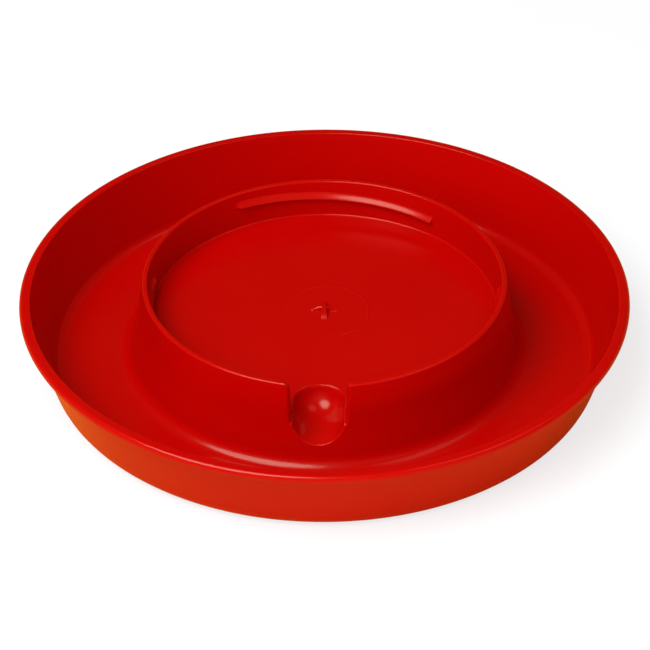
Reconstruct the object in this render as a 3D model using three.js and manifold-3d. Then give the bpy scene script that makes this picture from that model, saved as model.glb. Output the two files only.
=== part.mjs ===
// Base pan of a jar-type poultry waterer: one injection-moulded piece.
// Millimetres, +Z up. The origin is the centre of the foot, on the resting plane.
// The fill notch faces -Y.
import * as THREE from 'three';
import { mergeVertices } from 'three/addons/utils/BufferGeometryUtils.js';
import Module from 'manifold-3d';

const wasm = await Module();
wasm.setup();

// ---- driving dimensions ---------------------------------------------------
const PAN_FACETS = 72;          // facets around the pan

const RIM_CORNER_R = 127.41;    // rim's top and side meet here unrounded; rounded, 254 across
const RIM_Z = 34.0;             // height of the rim above the foot
const RIM_INNER_R = 122.6;      // inner edge of the rim's flat band
const RIM_ROUND = 1.9;          // outer top edge of the rim
const BEAD_R = 126.88;          // lower edge of the rim bead
const BEAD_Z = 31.2;
const WALL_TOP_R = 123.25;      // outer wall just under the bead
const WALL_TOP_Z = 28.5;
const WALL_FOOT_R = 114.55;     // outer wall carried down to the resting plane
const FOOT_ROUND = 7.0;         // outer bottom corner

const FOOT_INNER_R = 104.5;     // resting ring, inner side
const FOOT_STEP = 0.9;          // how far its inner side leans in, up to the floor's underside
const FLOOR_UNDER_Z = 1.3;      // underside of the trough floor
const TROUGH_Z = 3.5;           // top of the trough floor
const TROUGH_OUTER_R = 112.9;   // wall and floor meet here, before the fillet
const TROUGH_OUTER_ROUND = 4.8;

const COLLAR_Z = 39.2;          // top of the jar collar
const COLLAR_TOP_IN = 73.8;
const COLLAR_TOP_OUT = 75.8;
const COLLAR_FOOT_R = 82.0;     // collar's outer face at the trough floor
const COLLAR_FOOT_ROUND = 6.2;
const COLLAR_WALL = 2.05;       // between the outer face and the cored groove, level
const CORE_Z = 28.0;            // top of the cored groove inside the collar
const CORE_TOP_WIDTH = 0.8;

const CUP_Z = 22.3;             // raised floor inside the collar
const CUP_R = 72.9;
const CUP_ROUND = 0.8;          // inside corner between cup floor and collar
const CUP_UNDER_Z = 20.1;
const CUP_WALL = 1.85;          // between the cup and the cored groove

const NOTCH_HALF_LOW = 10.75;   // half width of the fill notch at the cup floor
const NOTCH_HALF_TOP = 11.43;   // half width at the collar top, before its corners are rounded
const NOTCH_ROUND = 3.0;        // top corners of the notch
const NOTCH_CLEAR = 6;          // how far the notch cutter stands above the collar

const PLUG_SIDE = 2.6;          // filling kept on each side of the notch
const PLUG_BELOW = 0.6;         // below the underside of the cup floor
const PLUG_ABOVE = 1.0;         // above the top of the groove
const PLUG_IN = 0.6;            // inner radius, outside the cup's
const PLUG_OUT = 8.0;           // outer radius, outside the cup's

const SCOOP_R = 10.3;           // round-bottomed scoop through the notch
const SCOOP_Y = -62.4;          // centre of its round inner end
const SCOOP_Z = 23.6;           // height of its axis
const SCOOP_REACH = 30;         // length of its straight part
const SCOOP_WALL = 2.1;         // wall kept under the scoop
const SCOOP_FACETS = 32;
const SCOOP_END_STEPS = 8;
const ENVELOPE_INSET = 0.4;     // keeps added walls inside the faces of the collar and floor

const LUG_COUNT = 3;
const LUG_SPAN = 75.6;          // degrees covered by each bayonet lug
const LUG_TILT = 2.38;          // degrees, each lug runs down clockwise seen from above
const LUG_ROOT_R = CUP_R + 1.3; // buried in the collar
const LUG_TOP_Z = 33.3;         // where the lug's upper face leaves the wall
const LUG_TIP_R = 71.6;
const LUG_TIP_Z = 31.2;

const WITNESS_R = 18.05;        // witness ring on the cup floor, a little off centre
const WITNESS_X = 0.65;
const WITNESS_Y = -0.45;
const WITNESS_H = 0.2;
const WITNESS_FACETS = 48;

const GATE_FRONT = -6.5;        // broad fin, ramped at the front (-Y), blunt at the back
const GATE_BACK = 5.0;
const GATE_TOP = 2.1;
const GATE_WIDTH_FRONT = 2.7;
const GATE_WIDTH_BACK = 1.3;
const GATE_ACROSS_HALF = 5.9;   // thin fin, side to side: half length
const GATE_ACROSS_TOP = 1.9;
const GATE_ACROSS_WIDTH = 0.7;
const GATE_SUNK = 0.6;          // depth of both fins' roots in the cup floor

// ---- helpers --------------------------------------------------------------
// Turns corners [x, y, radius, steps] into [x, y] points, with an arc where a radius is given.
function rounded(corners) {
  return corners.flatMap(([x, y, radius = 0, steps], index) => {
    if (radius === 0) return [[x, y]];
    const corner = new THREE.Vector2(x, y);
    const [toPrevious, toNext] = [corners[index - 1], corners[index + 1]].map(
      (other) => new THREE.Vector2(other[0], other[1]).sub(corner).normalize());
    const halfAngle = toPrevious.angleTo(toNext) / 2;
    const setback = radius / Math.tan(halfAngle);
    const centre = toPrevious.clone().add(toNext)
      .setLength(radius / Math.sin(halfAngle))
      .add(corner);
    const start = corner.clone().addScaledVector(toPrevious, setback).sub(centre);
    const end = corner.clone().addScaledVector(toNext, setback).sub(centre);
    const startAngle = Math.atan2(start.y, start.x);
    const sweep = Math.sign(start.cross(end)) * (Math.PI - 2 * halfAngle);
    return Array.from({ length: steps + 1 }, (_, step) => {
      const angle = startAngle + (sweep * step) / steps;
      return [centre.x + radius * Math.cos(angle), centre.y + radius * Math.sin(angle)];
    });
  });
}

// Completes a half outline with its mirror image in x.
function mirrored(half) {
  return [...half, ...half.map(([x, y]) => [-x, y]).reverse()];
}

function vectors(points) {
  return points.map(([x, y]) => new THREE.Vector2(x, y));
}

// Turns [radius, z] points about Z. LatheGeometry turns about +Y, so it is stood up.
function lathe(points, facets = PAN_FACETS) {
  return new THREE.LatheGeometry(vectors(points), facets).rotateX(Math.PI / 2);
}

// A ring, from a section clear of the axis.
function ring(section, facets) {
  return lathe([...section, section[0]], facets);
}

// Extrudes [x, y] points up from z = 0.
function extrude(points, depth) {
  return new THREE.ExtrudeGeometry(new THREE.Shape(vectors(points)), {
    depth,
    bevelEnabled: false,
  });
}

// Extrudes [x, z] points along Y, from yMin to yMax.
function slabXZ(points, yMin, yMax) {
  return extrude(points, yMax - yMin)
    .rotateX(Math.PI / 2)          // outline's y becomes +Z, depth runs to -Y
    .translate(0, yMax, 0);
}

// Welds a closed geometry into a solid, with its faces turned outwards.
function solid(geometry) {
  geometry.deleteAttribute('normal');
  geometry.deleteAttribute('uv');
  const welded = mergeVertices(geometry, 1e-5);
  const position = welded.getAttribute('position');
  const index = welded.getIndex();
  const triangles = [];
  const corners = [new THREE.Vector3(), new THREE.Vector3(), new THREE.Vector3()];
  let volume = 0;
  for (let i = 0; i < index.count; i += 3) {
    const triangle = [index.getX(i), index.getX(i + 1), index.getX(i + 2)];
    // triangles that shrink to nothing on the axis are left out
    if (new Set(triangle).size < 3) continue;
    triangles.push(triangle);
    corners.forEach((corner, k) => corner.fromBufferAttribute(position, triangle[k]));
    const [first, second, third] = corners;
    volume += first.dot(second.cross(third)) / 6;
  }
  if (volume < 0) {
    for (const triangle of triangles) triangle.reverse();
  }
  return new wasm.Manifold(new wasm.Mesh({
    numProp: 3,
    vertProperties: new Float32Array(position.array),
    triVerts: new Uint32Array(triangles.flat()),
  }));
}

function geometryOf(manifold) {
  const { vertProperties, triVerts } = manifold.getMesh();
  const geometry = new THREE.BufferGeometry();
  geometry.setAttribute('position', new THREE.BufferAttribute(vertProperties, 3));
  geometry.setIndex(new THREE.BufferAttribute(triVerts, 1));
  geometry.computeVertexNormals();
  return geometry;
}

// ---- the turned body ------------------------------------------------------
// Each side is a run of corners [radius, z, rounding, steps].
function makeBody() {
  const topSide = [
    [0, CUP_Z],
    [CUP_R, CUP_Z, CUP_ROUND, 2],
    [COLLAR_TOP_IN, COLLAR_Z, 0.7, 2],
    [COLLAR_TOP_OUT, COLLAR_Z, 0.9, 2],
    [COLLAR_FOOT_R, TROUGH_Z, COLLAR_FOOT_ROUND, 4],
    [TROUGH_OUTER_R, TROUGH_Z, TROUGH_OUTER_ROUND, 4],
    [RIM_INNER_R, RIM_Z, 0.5, 1],
  ];
  const outSide = [
    [RIM_CORNER_R, RIM_Z, RIM_ROUND, 4],
    [BEAD_R, BEAD_Z, 1.0, 2],
    [WALL_TOP_R, WALL_TOP_Z, 2.2, 2],
    [WALL_FOOT_R, 0, FOOT_ROUND, 5],
  ];
  // The groove's outer face runs parallel to the collar's.
  const collarSlope = (COLLAR_FOOT_R - COLLAR_TOP_OUT) / (COLLAR_Z - TROUGH_Z);
  const coreFootR = COLLAR_FOOT_R + collarSlope * (TROUGH_Z - FLOOR_UNDER_Z) - COLLAR_WALL;
  const coreTopR = coreFootR - collarSlope * (CORE_Z - FLOOR_UNDER_Z);
  const underSide = [
    [FOOT_INNER_R, 0, 0.5, 1],
    [FOOT_INNER_R - FOOT_STEP, FLOOR_UNDER_Z, 0.5, 1],
    [coreFootR, FLOOR_UNDER_Z, 6.0, 3],
    [coreTopR, CORE_Z],
    [coreTopR - CORE_TOP_WIDTH, CORE_Z],
    [CUP_R + CUP_WALL, CUP_UNDER_Z, 0.8, 1],
    [0, CUP_UNDER_Z],
  ];
  return solid(lathe(rounded([...topSide, ...outSide, ...underSide])));
}

// ---- fill notch and scoop -------------------------------------------------
// The collar's outer shape, solid inside: keeps the walls added around the
// notch and scoop from showing outside the collar.
function makeEnvelope() {
  const footR = COLLAR_FOOT_R - ENVELOPE_INSET;
  const bottomZ = FLOOR_UNDER_Z + ENVELOPE_INSET;
  return solid(lathe([
    [0, COLLAR_Z],
    [COLLAR_TOP_OUT - ENVELOPE_INSET, COLLAR_Z],
    [footR, TROUGH_Z],
    [footR, bottomZ],
    [0, bottomZ],
  ]));
}

// A ball with a round bar running out from it along -Y.
function ballTrough(radius) {
  const profile = [[0, -SCOOP_REACH], [radius, -SCOOP_REACH]];
  for (let k = 0; k < SCOOP_END_STEPS; k++) {
    const angle = (k / SCOOP_END_STEPS) * (Math.PI / 2);
    profile.push([radius * Math.cos(angle), radius * Math.sin(angle)]);
  }
  profile.push([0, radius]);
  // left lying about +Y, ball end towards +Y
  return solid(new THREE.LatheGeometry(vectors(profile), SCOOP_FACETS)
    .translate(0, SCOOP_Y, SCOOP_Z));
}

// The scoop's wall, below the cup floor only.
function makeScoopShell() {
  const belowFloor = slabXZ(mirrored([[20, 0], [20, CUP_UNDER_Z + 1.0]]), -90, -45);
  return ballTrough(SCOOP_R + SCOOP_WALL).intersect(solid(belowFloor));
}

// Fills the cored groove where the notch will cut through the collar.
function makePlug() {
  const bottomZ = CUP_UNDER_Z - PLUG_BELOW;
  const topZ = CORE_Z + PLUG_ABOVE;
  const block = slabXZ(mirrored([
    [NOTCH_HALF_LOW + PLUG_SIDE, bottomZ],
    [NOTCH_HALF_TOP + PLUG_SIDE, topZ],
  ]), -84, -70);
  const collarRing = ring([
    [CUP_R + PLUG_IN, bottomZ],
    [CUP_R + PLUG_OUT, bottomZ],
    [CUP_R + PLUG_OUT, topZ],
    [CUP_R + PLUG_IN, topZ],
  ]);
  return solid(block).intersect(solid(collarRing));
}

function makeNotch() {
  // Floor, flank, rounded top corner; the last point only guides the rounding.
  const flank = rounded([
    [NOTCH_HALF_LOW, CUP_Z],
    [NOTCH_HALF_TOP, COLLAR_Z, NOTCH_ROUND, 5],
    [NOTCH_HALF_TOP + 8, COLLAR_Z],
  ]).slice(0, -1);
  const [mouthHalf] = flank.at(-1);
  flank.push([mouthHalf, COLLAR_Z + NOTCH_CLEAR]);
  return solid(slabXZ(mirrored(flank), -92, -66));
}

// ---- bayonet lugs ---------------------------------------------------------
// A buttress-shaped ring, tilted a little, cut to its span. It is centred on +Y.
function makeLug() {
  const lugRing = ring([
    [LUG_ROOT_R, LUG_TOP_Z + 0.5],
    [COLLAR_TOP_IN - 0.3, LUG_TOP_Z],
    [LUG_TIP_R + 0.2, LUG_TIP_Z + 0.2],
    [LUG_TIP_R, LUG_TIP_Z - 0.1],
    [LUG_TIP_R + 0.1, LUG_TIP_Z - 0.5],
    [COLLAR_TOP_IN - 0.4, LUG_TIP_Z - 1.0],
    [LUG_ROOT_R, LUG_TIP_Z - 1.1],
  ]).rotateY(THREE.MathUtils.degToRad(LUG_TILT));
  const halfSpan = THREE.MathUtils.degToRad(LUG_SPAN / 2);
  const sideX = 110 * Math.sin(halfSpan);
  const sideY = 110 * Math.cos(halfSpan);
  const wedge = extrude([[0, 0], [sideX, sideY], [0, 140], [-sideX, sideY]], 30)
    .translate(0, 0, 15);
  return solid(lugRing).intersect(solid(wedge));
}

// ---- marks on the cup floor -----------------------------------------------
// Drawn with z = 0 at the cup floor, then lifted onto it.
function makeWitnessRing() {
  return solid(ring([
    [WITNESS_R - 0.55, -0.5],
    [WITNESS_R + 0.55, -0.5],
    [WITNESS_R + 0.5, 0.04],
    [WITNESS_R + 0.2, WITNESS_H],
    [WITNESS_R - 0.2, WITNESS_H],
    [WITNESS_R - 0.5, 0.04],
  ], WITNESS_FACETS).translate(WITNESS_X, WITNESS_Y, CUP_Z));
}

function makeGateMark() {
  // Half outline of the thin fin [x, z], from its root to the top.
  const across = solid(slabXZ(mirrored([
    [GATE_ACROSS_HALF, -GATE_SUNK],
    [GATE_ACROSS_HALF, 0.05],
    [5.3, 0.2 * GATE_ACROSS_TOP],
    [4.3, 0.5 * GATE_ACROSS_TOP],
    [3.0, 0.78 * GATE_ACROSS_TOP],
    [1.6, 0.95 * GATE_ACROSS_TOP],
    [0.4, GATE_ACROSS_TOP],
  ]), -GATE_ACROSS_WIDTH / 2, GATE_ACROSS_WIDTH / 2));
  // The broad fin's side view [y, z], turned to run along Y and cut to its tapering plan.
  const side = solid(slabXZ([
    [GATE_BACK, -GATE_SUNK],
    [GATE_BACK, 0.9],
    [0.6, GATE_TOP],
    [-0.6, GATE_TOP],
    [-4.3, 1.65],
    [GATE_FRONT, 0.02],
    [GATE_FRONT, -GATE_SUNK],
  ], -4, 4).rotateZ(Math.PI / 2));
  const plan = solid(extrude(mirrored([
    [GATE_WIDTH_FRONT / 2, GATE_FRONT - 0.1],
    [GATE_WIDTH_BACK / 2, GATE_BACK + 0.1],
  ]), 5).translate(0, 0, -0.8));
  return across.add(side.intersect(plan)).translate([0, 0, CUP_Z]);
}

// ---- one moulding ---------------------------------------------------------
function makePan() {
  const envelope = makeEnvelope();
  let pan = makeBody()
    .add(makeScoopShell().intersect(envelope))
    .add(makePlug().intersect(envelope))
    .subtract(makeNotch())
    .subtract(ballTrough(SCOOP_R))
    .add(makeWitnessRing())
    .add(makeGateMark());
  const lug = makeLug();
  for (let i = 0; i < LUG_COUNT; i++) {
    pan = pan.add(lug.rotate([0, 0, (360 / LUG_COUNT) * i]));
  }
  return pan;
}

const redPlastic = new THREE.MeshStandardMaterial({
  color: 0xc20a05,
  roughness: 0.28,
  metalness: 0.0,
});

const mesh = new THREE.Mesh(geometryOf(makePan()), redPlastic);
mesh.name = 'waterer_base';
const waterer = new THREE.Group();
waterer.add(mesh);

export default waterer;
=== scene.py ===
"""Looks for the base pan of a jar-type poultry waterer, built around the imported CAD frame.

The pan is one fine closed mesh centred on the Z axis, its foot on z = 0: a cup floor inside
a raised collar, a trough round the collar, then the outer wall and rim. A fill notch and its
scoop cut the collar at the front (-Y); three lugs run round the collar's inner face.
Profile numbers are millimetres; the mesh, stage and camera are in metres.
"""

import bpy
import math
import numpy as np
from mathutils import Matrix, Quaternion, Vector


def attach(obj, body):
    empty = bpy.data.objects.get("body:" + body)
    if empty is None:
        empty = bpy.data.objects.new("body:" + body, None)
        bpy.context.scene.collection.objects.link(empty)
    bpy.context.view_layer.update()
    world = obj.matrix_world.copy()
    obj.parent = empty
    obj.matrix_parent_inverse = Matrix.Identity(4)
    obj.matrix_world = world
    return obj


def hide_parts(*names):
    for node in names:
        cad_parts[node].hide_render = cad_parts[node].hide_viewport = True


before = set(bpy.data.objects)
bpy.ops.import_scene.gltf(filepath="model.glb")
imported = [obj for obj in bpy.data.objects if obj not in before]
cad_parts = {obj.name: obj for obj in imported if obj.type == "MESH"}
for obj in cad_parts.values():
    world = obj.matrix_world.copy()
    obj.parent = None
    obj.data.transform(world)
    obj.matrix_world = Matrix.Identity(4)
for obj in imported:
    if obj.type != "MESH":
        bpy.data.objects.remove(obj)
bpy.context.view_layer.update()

# ---------------------------------------------------------------- dimensions
RIM_CORNER_R, RIM_Z, RIM_INNER_R, RIM_ROUND = 127.41, 34.0, 122.6, 1.9
BEAD_R, BEAD_Z, WALL_TOP_R, WALL_TOP_Z = 126.88, 31.2, 123.25, 28.5
WALL_FOOT_R, FOOT_ROUND, FOOT_INNER_R, FOOT_STEP = 114.55, 7.0, 104.5, 0.9
FLOOR_UNDER_Z = 1.3
TROUGH_Z, TROUGH_OUTER_R, TROUGH_OUTER_ROUND = 3.5, 112.9, 4.8
COLLAR_Z, COLLAR_TOP_IN, COLLAR_TOP_OUT = 39.2, 73.8, 75.8
COLLAR_FOOT_R, COLLAR_FOOT_ROUND = 82.0, 6.2
CUP_Z, CUP_R, CUP_ROUND, CUP_UNDER_Z, CUP_WALL = 22.3, 72.9, 0.8, 20.1, 1.85

# the hollow under the collar, its outer side parallel to the collar's outer cone
CORE_Z, CORE_TOP_WIDTH, CORE_WALL = 28.0, 0.8, 2.05
CONE_SLOPE = (COLLAR_FOOT_R - COLLAR_TOP_OUT) / (COLLAR_Z - TROUGH_Z)
CORE_FOOT_R = COLLAR_FOOT_R + CONE_SLOPE * (TROUGH_Z - FLOOR_UNDER_Z) - CORE_WALL
CORE_TOP_R = CORE_FOOT_R - CONE_SLOPE * (CORE_Z - FLOOR_UNDER_Z)

COLLAR_CREST_R = (COLLAR_TOP_IN + COLLAR_TOP_OUT) / 2
INNER_FACE_SLOPE = (COLLAR_TOP_IN - CUP_R) / (COLLAR_Z - CUP_Z)

# fill notch: half width at the cup floor, widening per height, and its rounded edges
NOTCH_HALF, NOTCH_GROW, NOTCH_CORNER, NOTCH_FOOT = 10.75, 0.04, 3.0, 0.3
NOTCH_EDGE_OUT, NOTCH_EDGE_IN, LIP_EDGE = 2.0, 0.9, 0.45
NOTCH_FROM_R, OPENING_TO_R = 71.0, 80.95
CONE_LEAN = 0.983               # horizontal gap to distance square to the outer cone

# scoop: a ball end at (0, SCOOP_Y), running straight forward from there
SCOOP_R, SCOOP_Y, SCOOP_Z, SCOOP_WALL, SCOOP_LIP = 10.3, -62.4, 23.6, 2.1, 0.5
SCOOP_LIP_REACH = math.sqrt((SCOOP_R + SCOOP_LIP) ** 2 - (SCOOP_Z - CUP_Z + SCOOP_LIP) ** 2)

# lugs: bearings from +X; the ends are degrees from a lug's centre
LUG_CENTRES, LUG_TILT, LUG_R = (90.0, 210.0, 330.0), 2.38, 72.7
LUG_CUT, LUG_TAPER_FROM, LUG_TAPER_TO = -37.8, 31.2, 34.0
LUG_FADE_FROM, LUG_FADE_TO = 39.0, 46.0
# lug section: height, and how far it stands in from the collar's face
LUG_SECTION_Z = [29.9, 30.2, 30.32, 30.5, 30.68, 30.85, 31.1, 31.35, 31.6, 33.2, 33.45, 33.7]
LUG_SECTION_OUT = [0.0, 0.12, 0.75, 1.42, 1.72, 1.84, 1.86, 1.76, 1.57, 0.2, 0.04, 0.0]

# marks on the cup floor: witness ring (radius, centre, height, half width) and gate mark
RING_R, RING_X, RING_Y, RING_HEIGHT, RING_WIDTH = 18.05, 0.65, -0.45, 0.2, 0.55
RING_BEARING, RING_FADE_FROM, RING_FADE_TO, RING_FADE = 24.0, 84.0, 122.0, 0.85
GATE_FRONT, GATE_BACK, GATE_TOP, GATE_HALF_FRONT, GATE_HALF_BACK = -6.5, 5.0, 2.1, 1.35, 0.65
GATE_ACROSS, GATE_ACROSS_TOP, MARKS_R = 5.9, 1.9, 8.0
# side view of the gate mark's long ridge: y, height
GATE_RIDGE = [
    (GATE_FRONT, 0.0), (-5.8, 0.75), (-5.0, 1.3), (-4.2, 1.65), (-3.0, 1.87),
    (-0.6, GATE_TOP), (0.6, GATE_TOP), (GATE_BACK - 0.15, 0.9), (GATE_BACK + 0.15, 0.0),
]

# corners of the section: radius, height, rounding; out along the top, back underneath
CORNERS = [
    (0, CUP_Z, 0), (CUP_R, CUP_Z, CUP_ROUND),
    (COLLAR_TOP_IN, COLLAR_Z, 0.7), (COLLAR_TOP_OUT, COLLAR_Z, 0.9),
    (COLLAR_FOOT_R, TROUGH_Z, COLLAR_FOOT_ROUND), (TROUGH_OUTER_R, TROUGH_Z, TROUGH_OUTER_ROUND),
    (RIM_INNER_R, RIM_Z, 0.5), (RIM_CORNER_R, RIM_Z, RIM_ROUND), (BEAD_R, BEAD_Z, 1.0),
    (WALL_TOP_R, WALL_TOP_Z, 2.2), (WALL_FOOT_R, 0, FOOT_ROUND), (FOOT_INNER_R, 0, 0.5),
    (FOOT_INNER_R - FOOT_STEP, FLOOR_UNDER_Z, 0.5), (CORE_FOOT_R, FLOOR_UNDER_Z, 6.0),
    (CORE_TOP_R, CORE_Z, 0.35), (CORE_TOP_R - CORE_TOP_WIDTH, CORE_Z, 0.35),
    (CUP_R + CUP_WALL, CUP_UNDER_Z, 0.8), (0, CUP_UNDER_Z, 0),
]

# --------------------------------------------------------------- mesh density
# Between these radii a front patch, PATCH_X either side of the middle, has its own grid.
ZONE_IN, ZONE_OUT, PATCH_X = 45.0, 88.0, 16.0
FIXED_FROM = 21.5               # degrees from the front where columns become radial
OUTER_COLUMNS, CUP_COLUMNS, UNDER_COLUMNS = 200, 192, 110
STRAIGHT = 1e3                  # stands for the rounding of a straight
ANY = math.inf

# row spacing by place: radius from, to, height from, to, spacing; later bands win
PATCH_TOP_BANDS = [
    (51.0, 63.3, -ANY, ANY, 0.3), (63.3, 72.0, -ANY, ANY, 0.8),
    (72.5, 74.0, CUP_Z + 1, ANY, 0.5),
    (75.4, ANY, 12.0, ANY, 0.45), (75.4, ANY, -ANY, 12.0, 1.0),
]
PLAIN_TOP_BANDS = [(72.5, 74.2, 28.6, 34.2, 0.5), (72.5, 74.2, 29.8, 31.8, 0.21)]
OUTER_BANDS = [(121.0, ANY, -ANY, ANY, 2.2)]
PATCH_UNDER_BANDS = [(50.5, 74.0, -ANY, ANY, 0.7), (74.0, 81.5, -ANY, ANY, 0.8)]

# column spacing in half the patch: x, spacing
PATCH_TOP_STOPS = [
    (0, 1.1), (7.0, 0.9), (9.2, 0.4), (9.9, 0.16), (11.3, 0.13),
    (12.2, 0.22), (14.2, 0.3), (15.2, 0.5), (PATCH_X, 0.6),
]
PATCH_UNDER_STOPS = [
    (0, 1.3), (9.5, 0.8), (12.0, 0.3), (13.4, 0.3), (15.2, 0.45), (PATCH_X, 0.6),
]
# rings round the gate mark: radius from, to, spacing, columns
GATE_RINGS = [
    (0.22, 1.1, 0.16, 32), (1.1, 2.6, 0.16, 64), (2.6, 5.2, 0.2, 128),
    (5.2, 8.4, 0.22, CUP_COLUMNS),
]
# rings over the rest of the cup floor: radius, spacing
CUP_STOPS = [
    (8.4, 0.5), (10.0, 1.6), (15.0, 1.4), (17.3, 0.12),
    (18.8, 0.12), (21.5, 1.4), (30.0, 3.0), (44.2, 1.6),
]
# rings under the cup: radius, columns
UNDER_CUP_RINGS = [(40.0, 96), (32.0, 96), (24.0, 48), (17.0, 48), (11.0, 24), (6.0, 24)]


# ------------------------------------------------------------------- spacing
def spread(position, cells):
    """Positions resampled so that each step takes up one cell; cells are given per gap."""
    total = np.concatenate([[0], np.cumsum(cells)])
    count = max(1, int(round(total[-1])))
    return np.interp(np.linspace(0, total[-1], count + 1), total, position)


def cells_in(gaps, spacing):
    """How many cells of the wanted spacing each gap holds."""
    return gaps * 0.5 * (1 / spacing[1:] + 1 / spacing[:-1])


def line_positions(stops):
    """Graded positions along a line, from a list of (position, spacing)."""
    x = np.linspace(stops[0][0], stops[-1][0], 4000)
    spacing = np.interp(x, [stop[0] for stop in stops], [stop[1] for stop in stops])
    return spread(x, cells_in(np.diff(x), spacing))


def graded(points, rounds, widest, arc_deg, grow=0.3):
    """Rows along a fine polyline, close on tight rounds and opening gradually on straights.

    Returns the points and how far along the polyline each lies.
    """
    gaps = np.linalg.norm(np.diff(points, axis=0), axis=1)
    spacing = np.maximum(np.minimum(widest, rounds * math.radians(arc_deg)), 0.02)
    for k in range(1, len(spacing)):
        spacing[k] = min(spacing[k], spacing[k - 1] + grow * gaps[k - 1])
    for k in range(len(spacing) - 2, -1, -1):
        spacing[k] = min(spacing[k], spacing[k + 1] + grow * gaps[k])
    length = np.concatenate([[0], np.cumsum(gaps)])
    along = spread(length, cells_in(gaps, spacing))
    rows = np.stack([np.interp(along, length, points[:, axis]) for axis in (0, 1)], 1)
    return rows, along


def spacing_by_place(points, plain, bands):
    """Widest row spacing at each profile point."""
    radius, z = points.T
    spacing = np.full(len(points), plain)
    for r_from, r_to, z_from, z_to, value in bands:
        inside = (radius > r_from) & (radius < r_to) & (z > z_from) & (z <= z_to)
        spacing[inside] = value
    return spacing


def collar_columns(base=2.1, fine=0.12):
    """Angles from the front round the collar, closer together at the lugs' ends."""
    angle = np.linspace(FIXED_FROM, 360 - FIXED_FROM, 12000)
    spacing = np.full_like(angle, base)

    def gap_to(bearing):
        return np.abs((angle - (bearing + 90.0) % 360 + 180) % 360 - 180)

    for centre in LUG_CENTRES:
        near_cut = fine + 0.22 * np.maximum(gap_to(centre + LUG_CUT) - 0.3, 0)
        spacing = np.minimum(spacing, near_cut)
        for end in (LUG_TAPER_FROM, LUG_TAPER_TO):
            spacing = np.minimum(spacing, 0.5 + 0.25 * gap_to(centre + end))
    return np.radians(spread(angle, np.diff(angle) / spacing[1:]))


# ------------------------------------------------------------------- profile
def corner_arc(corner, before, after, rounding):
    """Points of the arc that rounds a corner between its two neighbours."""
    before, after = before - corner, after - corner
    before, after = before / np.linalg.norm(before), after / np.linalg.norm(after)
    half = math.acos(np.clip(before @ after, -1, 1)) / 2
    cut = rounding / math.tan(half)
    middle = (before + after) / np.linalg.norm(before + after)
    centre = corner + middle * rounding / math.sin(half)
    start = corner + before * cut - centre
    end = corner + after * cut - centre
    first = math.atan2(start[1], start[0])
    sweep = (math.atan2(end[1], end[0]) - first + math.pi) % (2 * math.pi) - math.pi
    steps = max(12, int(abs(sweep) * 60))
    angles = [first + sweep * k / steps for k in range(steps + 1)]
    return [centre + rounding * np.array([math.cos(a), math.sin(a)]) for a in angles]


def fine_profile(corners, step=0.06):
    """The rounded profile as a very fine polyline, with the local rounding at each point."""
    places = [np.array(corner[:2], float) for corner in corners]
    points, rounds = [], []
    for i, (_, _, rounding) in enumerate(corners):
        if rounding <= 0:
            points.append(places[i])
            rounds.append(STRAIGHT)
            continue
        arc = corner_arc(places[i], places[i - 1], places[i + 1], rounding)
        points += arc
        rounds += [rounding] * len(arc)
    fine, fine_rounds = [points[0]], [rounds[0]]
    for k in range(1, len(points)):
        gap = np.linalg.norm(points[k] - points[k - 1])
        count = max(1, int(math.ceil(gap / step)))
        same = rounds[k] == rounds[k - 1] and rounds[k] < STRAIGHT
        on_arc = same and gap < rounds[k] * 0.1
        for j in range(1, count + 1):
            fine.append(points[k - 1] + (points[k] - points[k - 1]) * j / count)
            fine_rounds.append(rounds[k] if (on_arc or j == count) else STRAIGHT)
    return np.array(fine), np.array(fine_rounds)


def rising(points):
    """Radii and heights of the points whose radius keeps growing, for interpolation."""
    grows = np.diff(np.maximum.accumulate(points[:, 0])) > 1e-9
    return points[np.concatenate([[True], grows])].T


PROFILE, ROUNDS = fine_profile(CORNERS)
WIDEST = int(np.argmax(PROFILE[:, 0]))
TOP_FACE = rising(PROFILE[: WIDEST + 1])
UNDER_FACE = rising(PROFILE[WIDEST:][::-1])


def profile_part(start, end):
    """Profile points and rounding between two (radius, whether on the top face) cuts."""
    ends = []
    for radius, top in (start, end):
        side = np.arange(WIDEST + 1) if top else np.arange(WIDEST + 1, len(PROFILE))
        ends.append(int(side[np.argmin(np.abs(PROFILE[side, 0] - radius))]))
    part = slice(ends[0], ends[1] + 1)
    return PROFILE[part], ROUNDS[part]


def smooth_min(first, second, width):
    width = np.maximum(width, 1e-9)
    overlap = np.maximum(width - np.abs(first - second), 0)
    return np.minimum(first, second) - overlap ** 2 / (4 * width)


def smoothstep(x, start, end):
    t = np.clip((x - start) / (end - start), 0, 1)
    return t * t * (3 - 2 * t)


# --------------------------------------------------- fill notch and its scoop
# In these functions side is the distance either way from the middle plane x = 0.
def notch_height(side):
    """Height of the notch's flank above the cup floor, rounding over into the collar's top."""
    top = COLLAR_Z - CUP_Z
    lean = math.atan2(1, NOTCH_GROW)
    arc_end = NOTCH_HALF + NOTCH_GROW * top + NOTCH_CORNER * math.tan(lean / 2)
    arc_start = arc_end - NOTCH_CORNER * math.sin(lean)
    flank = (side - NOTCH_HALF) / NOTCH_GROW
    drop = NOTCH_CORNER ** 2 - (np.minimum(side, arc_end) - arc_end) ** 2
    arc = top - NOTCH_CORNER + np.sqrt(np.maximum(drop, 0))
    height = np.where(side > arc_start, arc, flank)
    # beyond the arc it climbs clear of the collar
    height = np.where(side > arc_end, top + (side - arc_end) * 12.0, height)
    return np.maximum(height, 0)


def highest_inside(radius, inside, low):
    """Greatest height at which each point is still inside the moulding, by bisection."""
    lower, upper = np.full_like(radius, low), np.full_like(radius, 60.0)
    for _ in range(28):
        z = (lower + upper) / 2
        solid = inside(z)
        lower, upper = np.where(solid, z, lower), np.where(solid, upper, z)
    return lower


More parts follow.
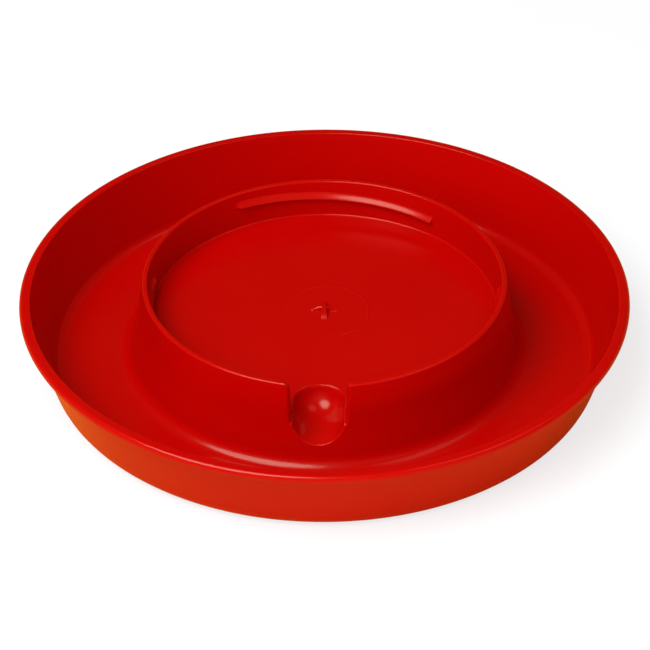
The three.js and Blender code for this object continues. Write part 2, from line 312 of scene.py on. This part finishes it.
def edge_distance(to_face, to_opening, rounding):
    """Distance from the centre of the round between a face and the opening."""
    return np.hypot(np.maximum(rounding - to_face, 0), np.maximum(rounding - to_opening, 0))


def outer_edge(side, radius):
    """The opening's rounded edge on the outer cone: notch and scoop are one outline."""
    def inside(z):
        to_cone = (COLLAR_TOP_OUT + CONE_SLOPE * (COLLAR_Z - z) - radius) * CONE_LEAN
        flank = side - (NOTCH_HALF + NOTCH_GROW * (z - CUP_Z))
        below = np.hypot(np.maximum(side - NOTCH_HALF, 0), np.maximum(CUP_Z - z, 0))
        notch = np.where(z > CUP_Z, flank, below)
        scoop = np.where(z < SCOOP_Z, np.hypot(side, z - SCOOP_Z) - SCOOP_R, 9.0)
        to_opening = smooth_min(notch, scoop, 0.9)
        widen = smoothstep(z, CUP_Z - 6.0, CUP_Z + 4.0)
        rounding = LIP_EDGE + (NOTCH_EDGE_OUT - LIP_EDGE) * widen
        return (to_opening > 0) & (edge_distance(to_cone, to_opening, rounding) < rounding)
    return highest_inside(radius, inside, TROUGH_Z - 4.0)


def inner_edge(side, radius):
    """The notch flank's edge on the collar's inner face."""
    def inside(z):
        height = z - CUP_Z
        to_face = radius - (CUP_R + height * INNER_FACE_SLOPE)
        to_flank = side - (NOTCH_HALF + NOTCH_GROW * height)
        return edge_distance(to_face, to_flank, NOTCH_EDGE_IN) < NOTCH_EDGE_IN
    return highest_inside(radius, inside, CUP_Z - 4.0)


def scoop_distance(x, y):
    """Distance in plan from the scoop's centre line, round its ball end."""
    return np.where(y > SCOOP_Y, np.hypot(x, y - SCOOP_Y), np.abs(x))


def scoop_height(x, y):
    """Height of the scoop's surface: ball end, straight run, rounded lip on the cup floor."""
    distance = scoop_distance(x, y)
    lip_start = SCOOP_LIP_REACH * SCOOP_R / (SCOOP_R + SCOOP_LIP)
    ball_rise = SCOOP_R ** 2 - np.minimum(distance, lip_start) ** 2
    ball = SCOOP_Z - np.sqrt(np.maximum(ball_rise, 0))
    to_end = SCOOP_LIP_REACH - np.clip(distance, lip_start, SCOOP_LIP_REACH)
    lip = CUP_Z - SCOOP_LIP + np.sqrt(np.maximum(SCOOP_LIP ** 2 - to_end ** 2, 0))
    return np.where(distance < lip_start, ball, np.where(distance < SCOOP_LIP_REACH, lip, CUP_Z))


def z_top(x, y):
    """Height of the top face in the front patch."""
    radius, side = np.hypot(x, y), np.abs(x)
    body = np.interp(radius, *TOP_FACE)
    height = np.minimum(body - CUP_Z, notch_height(side))
    trimmed = np.minimum(height, inner_edge(side, radius) - CUP_Z)
    height = np.where(radius < COLLAR_CREST_R + 0.6, trimmed, height)
    wall = CUP_Z + np.maximum(height, 0)
    # where the flank meets the floor, a small inside fillet
    into_foot = np.clip(side - (NOTCH_HALF - NOTCH_FOOT), 0, NOTCH_FOOT)
    foot = NOTCH_FOOT - np.sqrt(np.maximum(NOTCH_FOOT ** 2 - into_foot ** 2, 0))
    wall = np.maximum(wall, np.minimum(CUP_Z + foot, np.maximum(body, CUP_Z)))
    scoop = scoop_height(x, y)
    in_reach = side < SCOOP_LIP_REACH
    plain = np.where(radius > NOTCH_FROM_R, wall, body)
    cup = np.where(in_reach & (scoop < CUP_Z), scoop, plain)
    # outside the crest the outline's rounded edge takes over
    edge = np.minimum(outer_edge(side, radius), body)
    opening = np.minimum(edge, np.where(in_reach, scoop, wall))
    outer = np.where(radius > OPENING_TO_R, body, opening)
    blend = smoothstep(radius, COLLAR_CREST_R - 0.5, COLLAR_CREST_R + 0.5)
    crest = cup * (1 - blend) + np.minimum(outer, cup) * blend
    z = np.where(radius > COLLAR_CREST_R + 0.5, outer, crest)
    # clear of the opening the plain body is kept
    return np.minimum(z, np.maximum(body, TROUGH_Z))


def z_bottom(x, y):
    """Height of the underside in the front patch, filled under the notch and the scoop."""
    radius, side = np.hypot(x, y), np.abs(x)
    under = np.interp(radius, *UNDER_FACE)
    plug = CUP_UNDER_Z + np.maximum(side - (NOTCH_HALF + 2.6), 0) * 7.0
    rise = np.minimum(np.maximum(under - CUP_UNDER_Z, 0), np.maximum(plug - CUP_UNDER_Z, 0))
    plugged = smooth_min(under, plug, np.minimum(1.2, 2 * rise))
    under = np.where(radius > 72.0, plugged, under)
    distance = scoop_distance(x, y)
    bulge_r = SCOOP_R + SCOOP_WALL
    ball_end = bulge_r - 0.05
    drop = np.sqrt(np.maximum(bulge_r ** 2 - np.minimum(distance, ball_end) ** 2, 0))
    # past the ball the bulge climbs steeply out of the way
    beyond = SCOOP_Z + (distance - bulge_r) * 12 + 2
    bulge = np.where(distance < ball_end, SCOOP_Z - drop, beyond)
    return smooth_min(under, bulge, 1.4)


# ------------------------------------------------ raised marks, bayonet lugs
def floor_marks(x, y):
    """Height of the witness ring and gate mark above the cup floor."""
    ring_x, ring_y = x - RING_X, y - RING_Y
    off_ring = np.clip(np.abs(np.hypot(ring_x, ring_y) - RING_R) / RING_WIDTH, 0, 1)
    bearing = np.degrees(np.arctan2(ring_y, ring_x))
    turn = np.abs((bearing - RING_BEARING + 180.0) % 360.0 - 180.0)
    fade = 1 - RING_FADE * smoothstep(turn, RING_FADE_FROM, RING_FADE_TO)
    ring = RING_HEIGHT * (1 - off_ring * off_ring) ** 1.5 * fade
    # a short ridge along X crosses a longer one along Y
    side, depth = np.abs(x), np.abs(y)
    crest = GATE_ACROSS_TOP * np.maximum(1 - (side / GATE_ACROSS) ** 2.2, 0)
    across = np.maximum(crest - 0.85 * np.minimum(depth, 0.36), 0)
    across = across * (1 - smoothstep(depth, 0.36, 0.6))
    ridge = np.interp(y, *zip(*GATE_RIDGE))
    half = np.interp(y, [GATE_FRONT, GATE_BACK], [GATE_HALF_FRONT, GATE_HALF_BACK])
    along = ridge * (1 - smoothstep(side, half - 0.14, half + 0.14))
    return np.maximum(np.maximum(ring, across), along)


def lug_shift(bearing):
    """How far the lug at this bearing runs up or down, and how far it stands out, 0 to 1."""
    shift, out = np.zeros_like(bearing), np.zeros_like(bearing)
    for centre in LUG_CENTRES:
        offset = (bearing - centre + 180.0) % 360.0 - 180.0
        tilt = LUG_R * math.sin(math.radians(LUG_TILT))
        run = tilt * np.sin(np.radians(np.clip(offset, -50, 50)))
        fade = 1 - smoothstep(np.abs(offset), LUG_FADE_FROM, LUG_FADE_TO)
        near = np.abs(offset) < LUG_FADE_TO
        shift = np.where(near, run * fade, shift)
        ends = smoothstep(offset, LUG_CUT - 0.12, LUG_CUT + 0.12)
        ends = ends * (1 - smoothstep(offset, LUG_TAPER_FROM, LUG_TAPER_TO))
        out = np.maximum(out, np.where(near, ends, 0))
    return shift, out


def with_lugs(radius, z, bearing):
    """Moves points of the collar's inner face onto the lugs."""
    wall = (radius > CUP_R - 0.3) & (radius < COLLAR_TOP_IN + 0.05)
    wall = wall & (z > CUP_Z + 1.5) & (z < COLLAR_Z - 0.7)
    shift, out = lug_shift(bearing)
    # the rows slide fully at the lug and not at all near floor and crest
    weight = smoothstep(z, CUP_Z + 1.6, 28.3) * (1 - smoothstep(z, 34.6, COLLAR_Z - 0.8))
    rise = np.where(wall, shift * weight, 0.0)
    proud = np.where(wall, np.interp(z, LUG_SECTION_Z, LUG_SECTION_OUT) * out, 0.0)
    return radius + rise * INNER_FACE_SLOPE - proud, z + rise


# -------------------------------------------------------------- mesh builder
# Angles run from the front (-Y) towards +X. A loop is (vertex indices, their angles).
def ring_plan(radius, angles):
    return radius * np.sin(angles), -radius * np.cos(angles)


def even_angles(count):
    return np.arange(count) * 2 * math.pi / count


def stitch(first, first_at, second, second_at):
    """Triangles between two lines of points, advancing along whichever lies behind."""
    i = j = 0
    faces = []
    while i < len(first) - 1 or j < len(second) - 1:
        first_left = i < len(first) - 1
        second_done = j >= len(second) - 1
        if second_done or (first_left and first_at[i + 1] <= second_at[j + 1]):
            faces.append((first[i], second[j], first[i + 1]))
            i += 1
        else:
            faces.append((first[i], second[j], second[j + 1]))
            j += 1
    return np.array(faces)


def closed_line(indices, angles):
    """A loop sorted by angle, with its first point repeated at the end."""
    angles = angles % (2 * math.pi)
    order = np.argsort(angles)
    indices, angles = indices[order], angles[order]
    return np.append(indices, indices[0]), np.append(angles, angles[0] + 2 * math.pi)


class Shell:
    """Collects the vertices and faces of the pan."""

    def __init__(self):
        self.points, self.quads, self.tris = [], [], []
        self.count = 0

    def add(self, x, y, z):
        self.points.append(np.stack([x, y, z], 1))
        self.count += len(x)
        return np.arange(self.count - len(x), self.count)

    def grid(self, rows):
        corners = rows[:-1, :-1], rows[1:, :-1], rows[1:, 1:], rows[:-1, 1:]
        self.quads.append(np.stack([corner.ravel() for corner in corners], 1))

    def bridge(self, before, after):
        """Joins two closed loops, given in their order along the profile."""
        (a, a_angles), (b, b_angles) = before, after
        if len(a) == len(b) and np.allclose(a_angles, b_angles):
            self.quads.append(np.stack([a, b, np.roll(b, -1), np.roll(a, -1)], 1))
        else:
            self.tris.append(stitch(*closed_line(*before), *closed_line(*after)))

    def seam(self, left, left_at, right, right_at):
        """Joins two open lines that run the same way; left is clockwise of right from above."""
        self.tris.append(stitch(left, left_at, right, right_at)[:, [0, 2, 1]])

    def ring(self, radius, z, columns, last):
        angles = even_angles(columns)
        loop = (self.add(*ring_plan(radius, angles), np.full(columns, float(z))), angles)
        self.bridge(last, loop)
        return loop


def add_zone(shell, last, patch, plain, half_x, patch_z, fixed, fan, lugs):
    """The band that holds the notch: a dense patch at the front, plain columns elsewhere.

    patch and plain are graded rows; fixed are the radial columns' angles, and fan columns
    spread between them and the patch on either side. Returns the last loop.
    """
    patch_rows, patch_along = patch
    plain_rows, plain_along = plain
    x = np.concatenate([-half_x[:0:-1], half_x])
    window = []
    for radius, z in patch_rows:
        y = -np.sqrt(radius * radius - x * x)
        # the patch's edge columns stay on the plain profile
        heights = np.where(np.abs(x) > PATCH_X - 1e-6, z, patch_z(x, y))
        window.append(shell.add(x, y, heights))
    window = np.array(window)
    shell.grid(window)

    rest, rest_angles = [], []
    for radius, z in plain_rows:
        edge = math.asin(PATCH_X / radius)
        fraction = np.arange(1, fan + 1) / (fan + 1)
        spread_out = edge + (math.radians(FIXED_FROM) - edge) * fraction
        angles = np.concatenate([spread_out, fixed, 2 * math.pi - spread_out[::-1]])
        radii, heights = np.full(len(angles), float(radius)), np.full(len(angles), float(z))
        if lugs:
            radii, heights = with_lugs(radii, heights, np.degrees(angles) - 90.0)
        rest.append(shell.add(*ring_plan(radii, angles), heights))
        rest_angles.append(angles)
    rest = np.array(rest)
    shell.grid(rest)
    shell.seam(window[:, -1], patch_along, rest[:, 0], plain_along)
    shell.seam(rest[:, -1], plain_along, window[:, 0], patch_along)

    def loop(k):
        angles = np.concatenate([np.arcsin(x / patch_rows[k][0]), rest_angles[k]])
        return np.concatenate([window[k], rest[k]]), angles % (2 * math.pi)

    shell.bridge(last, loop(0))
    return loop(-1)


# ------------------------------------------------------------ parts of the pan
def add_cup_floor(shell):
    """Centre of the cup floor, with the gate mark and the witness ring."""
    zero = np.zeros(1)
    centre = shell.add(zero, zero, CUP_Z + floor_marks(zero, zero))
    rings = []
    for start, end, spacing, columns in GATE_RINGS:
        count = int(round((end - start) / spacing))
        rings += [(start + (end - start) * k / count, columns) for k in range(count)]
    rings += [(float(radius), CUP_COLUMNS) for radius in line_positions(CUP_STOPS)]
    last = None
    for radius, columns in rings:
        angles = even_angles(columns)
        x, y = ring_plan(radius, angles)
        # the rings drift off centre to run along the witness ring
        drift = smoothstep(radius, 9.0, 15.0) * (1 - smoothstep(radius, 21.0, 32.0))
        x, y = x + RING_X * drift, y + RING_Y * drift
        indices = shell.add(x, y, CUP_Z + floor_marks(x, y))
        if last is None:
            hub = np.full(columns, centre[0])
            shell.tris.append(np.stack([hub, indices, np.roll(indices, -1)], 1))
        else:
            shell.bridge(last, (indices, angles))
        last = (indices, angles)
    return last


def add_collar(shell, last):
    points, rounds = profile_part((ZONE_IN, True), (ZONE_OUT, True))
    patch_spacing = spacing_by_place(points, 1.2, PATCH_TOP_BANDS)
    plain_spacing = spacing_by_place(points, 4.0, PLAIN_TOP_BANDS)
    return add_zone(
        shell, last,
        patch=graded(points, rounds, patch_spacing, arc_deg=9.0),
        plain=graded(points, rounds, plain_spacing, arc_deg=10.0),
        half_x=line_positions(PATCH_TOP_STOPS), patch_z=z_top,
        fixed=collar_columns(), fan=5, lugs=True)


def add_trough_and_wall(shell, last):
    """Trough, rim and outer wall, round to the underside."""
    points, rounds = profile_part((ZONE_OUT, True), (ZONE_OUT, False))
    spacing = spacing_by_place(points, 5.0, OUTER_BANDS)
    rows, _ = graded(points, rounds, spacing, arc_deg=10.0)
    for radius, z in rows[1:-1]:
        last = shell.ring(radius, z, OUTER_COLUMNS, last)
    return last


def add_underside(shell, last):
    points, rounds = profile_part((ZONE_OUT, False), (ZONE_IN, False))
    patch_spacing = spacing_by_place(points, 1.4, PATCH_UNDER_BANDS)
    last = add_zone(
        shell, last,
        patch=graded(points, rounds, patch_spacing, arc_deg=14.0),
        plain=graded(points, rounds, np.full(len(points), 4.0), arc_deg=14.0),
        half_x=line_positions(PATCH_UNDER_STOPS), patch_z=z_bottom,
        fixed=np.radians(np.linspace(FIXED_FROM, 360 - FIXED_FROM, UNDER_COLUMNS)),
        fan=4, lugs=False)
    for radius, columns in UNDER_CUP_RINGS:
        last = shell.ring(radius, CUP_UNDER_Z, columns, last)
    centre = shell.add(np.zeros(1), np.zeros(1), np.array([CUP_UNDER_Z]))
    hub = np.full(len(last[0]), centre[0])
    shell.tris.append(np.stack([last[0], hub, np.roll(last[0], -1)], 1))


def make_mesh(name, points, quads, tris):
    mesh = bpy.data.meshes.new(name)
    mesh.vertices.add(len(points))
    mesh.vertices.foreach_set("co", points.astype(np.float32).ravel())
    corners = np.concatenate([quads.ravel(), tris.ravel()]).astype(np.int32)
    mesh.loops.add(len(corners))
    mesh.loops.foreach_set("vertex_index", corners)
    starts = [np.arange(len(quads)) * 4, quads.size + np.arange(len(tris)) * 3]
    mesh.polygons.add(len(quads) + len(tris))
    mesh.polygons.foreach_set("loop_start", np.concatenate(starts).astype(np.int32))
    mesh.update(calc_edges=True)
    mesh.validate()
    # the small gate mark keeps crisp facets; everything else is shaded round
    crisp = np.hypot(points[:, 0], points[:, 1]) < MARKS_R / 1000
    crisp = crisp & (points[:, 2] > (CUP_Z - 0.1) / 1000)
    smooth = np.concatenate([~crisp[quads].all(1), ~crisp[tris].all(1)])
    mesh.polygons.foreach_set("use_smooth", smooth)
    mesh.update()
    return mesh


shell = Shell()
loop = add_cup_floor(shell)
loop = add_collar(shell, loop)
loop = add_trough_and_wall(shell, loop)
add_underside(shell, loop)
quads, tris = np.concatenate(shell.quads), np.concatenate(shell.tris)
mesh = make_mesh("waterer_base_moulding", np.concatenate(shell.points) / 1000.0, quads, tris)
pan = bpy.data.objects.new("waterer_base_moulding", mesh)
bpy.context.scene.collection.objects.link(pan)
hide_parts("waterer_base")
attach(pan, "root")


# ----------------------------------------------------------------- materials
def empty_tree(owner):
    owner.use_nodes = True
    owner.node_tree.nodes.clear()
    return owner.node_tree


def mix_colours(tree, factor, first, second):
    """Mixes two colours, each an RGB tuple or a socket, by a factor socket."""
    mix = tree.nodes.new("ShaderNodeMix")
    mix.data_type = "RGBA"
    tree.links.new(factor, mix.inputs[0])
    for slot, colour in ((6, first), (7, second)):
        if isinstance(colour, tuple):
            mix.inputs[slot].default_value = (*colour, 1)
        else:
            tree.links.new(colour, mix.inputs[slot])
    return mix.outputs[2]


def red_plastic():
    """Glossy injection-moulded polyolefin: deep red, faint flow shading, fine rub marks."""
    material = bpy.data.materials.new("red_plastic")
    tree = empty_tree(material)
    new, link = tree.nodes.new, tree.links.new
    output = new("ShaderNodeOutputMaterial")
    shader = new("ShaderNodeBsdfPrincipled")
    link(shader.outputs[0], output.inputs[0])
    coordinates = new("ShaderNodeTexCoord")

    def noise(scale, detail):
        texture = new("ShaderNodeTexNoise")
        texture.inputs["Scale"].default_value = scale
        texture.inputs["Detail"].default_value = detail
        link(coordinates.outputs["Object"], texture.inputs["Vector"])
        return texture.outputs["Fac"]

    # broad uneven pigment
    pigment = new("ShaderNodeValToRGB")
    low, high = pigment.color_ramp.elements
    low.position, high.position = 0.3, 0.72
    low.color, high.color = (0.455, 0.0004, 0.0001, 1), (0.48, 0.0008, 0.0002, 1)
    link(noise(scale=14.0, detail=3.0), pigment.inputs["Fac"])
    # fine speckle of the masterbatch
    speckle = new("ShaderNodeMixRGB")
    speckle.blend_type = "MULTIPLY"
    speckle.inputs["Fac"].default_value = 0.10
    link(pigment.outputs["Color"], speckle.inputs["Color1"])
    link(noise(scale=900.0, detail=2.0), speckle.inputs["Color2"])
    link(speckle.outputs["Color"], shader.inputs["Base Color"])
    # smooth tool finish, slightly duller where it is handled and rubbed
    rub = new("ShaderNodeMapRange")
    rub.inputs["From Min"].default_value = 0.3
    rub.inputs["From Max"].default_value = 0.75
    rub.inputs["To Min"].default_value = 0.165
    rub.inputs["To Max"].default_value = 0.21
    link(noise(scale=38.0, detail=5.0), rub.inputs["Value"])
    link(rub.outputs["Result"], shader.inputs["Roughness"])
    # faint orange peel
    peel = new("ShaderNodeBump")
    peel.inputs["Strength"].default_value = 0.06
    peel.inputs["Distance"].default_value = 0.00012
    link(noise(scale=420.0, detail=3.0), peel.inputs["Height"])
    link(peel.outputs["Normal"], shader.inputs["Normal"])
    shader.inputs["IOR"].default_value = 1.49
    shader.inputs["Specular IOR Level"].default_value = 0.29
    shader.inputs["Specular Tint"].default_value = (1.0, 0.96, 0.78, 1)
    return material


def floor_paper(lit=(0.86,) * 3, in_gloss=(0.82, 0.25, 0.03), seen=(0.97,) * 3, glow=0.72):
    """White sweep: its own colour in the plastic's gloss, and a glow that keeps shadows faint."""
    material = bpy.data.materials.new("floor_paper")
    tree = empty_tree(material)
    new, link = tree.nodes.new, tree.links.new
    output = new("ShaderNodeOutputMaterial")
    diffuse = new("ShaderNodeBsdfDiffuse")
    path = new("ShaderNodeLightPath")
    colour = mix_colours(tree, path.outputs["Is Glossy Ray"], lit, in_gloss)
    colour = mix_colours(tree, path.outputs["Is Camera Ray"], colour, seen)
    link(colour, diffuse.inputs["Color"])
    emission = new("ShaderNodeEmission")
    emission.inputs["Color"].default_value = (1.0, 1.0, 1.0, 1)
    # only the camera sees the glow
    share = new("ShaderNodeMath")
    share.operation = "MULTIPLY"
    share.inputs[1].default_value = glow
    link(path.outputs["Is Camera Ray"], share.inputs[0])
    mix = new("ShaderNodeMixShader")
    link(share.outputs[0], mix.inputs[0])
    link(diffuse.outputs[0], mix.inputs[1])
    link(emission.outputs[0], mix.inputs[2])
    link(mix.outputs[0], output.inputs[0])
    return material


mesh.materials.append(red_plastic())

# --------------------------------------------------------------------- stage
bpy.ops.mesh.primitive_plane_add(size=1, location=(0, 0, -0.0004))
floor = bpy.context.object
floor.name = "studio_floor"
floor.scale = (8.0, 8.0, 1.0)
floor.data.materials.append(floor_paper())


def studio_world(light=(0.27,) * 3, seen=(0.95,) * 3, sweep_gloss=(0.75, 0.24, 0.04),
                 room_gloss=(0.045, 0.0315, 0.0045)):
    """A pale room, softer in the light it gives than to the eye.

    Reflections see a bright warm band near the horizon, and a dim room above it.
    """
    world = bpy.data.worlds.new("studio")
    bpy.context.scene.world = world
    tree = empty_tree(world)
    # present only where the Cycles engine is registered
    if hasattr(world, "cycles"):
        world.cycles.sampling_method = "NONE"           # the room is met by bounced rays only
    new, link = tree.nodes.new, tree.links.new
    output = new("ShaderNodeOutputWorld")
    path = new("ShaderNodeLightPath")
    coordinates = new("ShaderNodeTexCoord")
    axes = new("ShaderNodeSeparateXYZ")
    link(coordinates.outputs["Generated"], axes.inputs[0])
    band = new("ShaderNodeMapRange")
    band.interpolation_type = "SMOOTHSTEP"
    band.inputs["From Min"].default_value = 0.10
    band.inputs["From Max"].default_value = 0.34
    band.inputs["To Min"].default_value = 1.0
    band.inputs["To Max"].default_value = 0.0
    link(axes.outputs["Z"], band.inputs["Value"])
    colour = mix_colours(tree, band.outputs["Result"], room_gloss, sweep_gloss)
    colour = mix_colours(tree, path.outputs["Is Glossy Ray"], light, colour)
    colour = mix_colours(tree, path.outputs["Is Camera Ray"], colour, seen)
    background = new("ShaderNodeBackground")
    background.inputs["Strength"].default_value = 1.0
    link(colour, background.inputs["Color"])
    link(background.outputs[0], output.inputs["Surface"])


studio_world()


def softbox(name, bearing, elevation, distance, width, height, power, in_gloss,
            shape="RECTANGLE"):
    """A soft light at a bearing from +X and an elevation in degrees, facing the pan."""
    light = bpy.data.lights.new(name, "AREA")
    light.shape = shape
    light.size, light.size_y = width, height
    light.energy = power
    box = bpy.data.objects.new(name, light)
    turn, lift = math.radians(bearing), math.radians(elevation)
    away = Vector((math.cos(turn) * math.cos(lift), math.sin(turn) * math.cos(lift),
                   math.sin(lift)))
    box.location = Vector((0, 0, 0.02)) + away * distance
    box.rotation_mode = "QUATERNION"
    box.rotation_quaternion = away.to_track_quat("Z", "Y")
    bpy.context.scene.collection.objects.link(box)
    box.visible_glossy = in_gloss


softbox("key", bearing=-135, elevation=59, distance=1.5, width=1.24, height=0.88,
        power=20.2, in_gloss=True, shape="ELLIPSE")
softbox("reflector", bearing=-122, elevation=36, distance=1.9, width=2.0, height=1.0,
        power=14.0, in_gloss=False)
softbox("front", bearing=-62, elevation=40, distance=1.7, width=1.3, height=0.9,
        power=3.2, in_gloss=False)
softbox("right", bearing=2, elevation=62, distance=1.5, width=0.7, height=0.7,
        power=1.1, in_gloss=True)
softbox("low", bearing=-62, elevation=5, distance=1.5, width=1.6, height=0.2,
        power=4.2, in_gloss=False)


def add_camera(elevation, turn, distance, roll, target):
    """A long lens in front of the pan; turn is degrees from the front towards +X."""
    data = bpy.data.cameras.new("camera")
    camera = bpy.data.objects.new("camera", data)
    bpy.context.scene.collection.objects.link(camera)
    data.sensor_width = 36.0
    data.lens = 151.753846
    data.shift_x, data.shift_y = 0.000938461538, -0.0581538462
    data.clip_start, data.clip_end = 0.05, 30.0
    lift, turn = math.radians(elevation), math.radians(turn)
    back = Vector((math.sin(turn) * math.cos(lift), -math.cos(turn) * math.cos(lift),
                   math.sin(lift)))
    camera.location = Vector(target) + back * distance
    camera.rotation_mode = "QUATERNION"
    camera.rotation_quaternion = (-back).to_track_quat("-Z", "Y")
    camera.rotation_quaternion = camera.rotation_quaternion @ Quaternion((0, 0, 1), roll)
    bpy.context.scene.camera = camera


add_camera(elevation=34.8, turn=2.1, distance=1.143, roll=-0.0053, target=(0, 0, 0.034))
bpy.context.scene.view_settings.view_transform = "Standard"
bpy.context.scene.view_settings.look = "None"
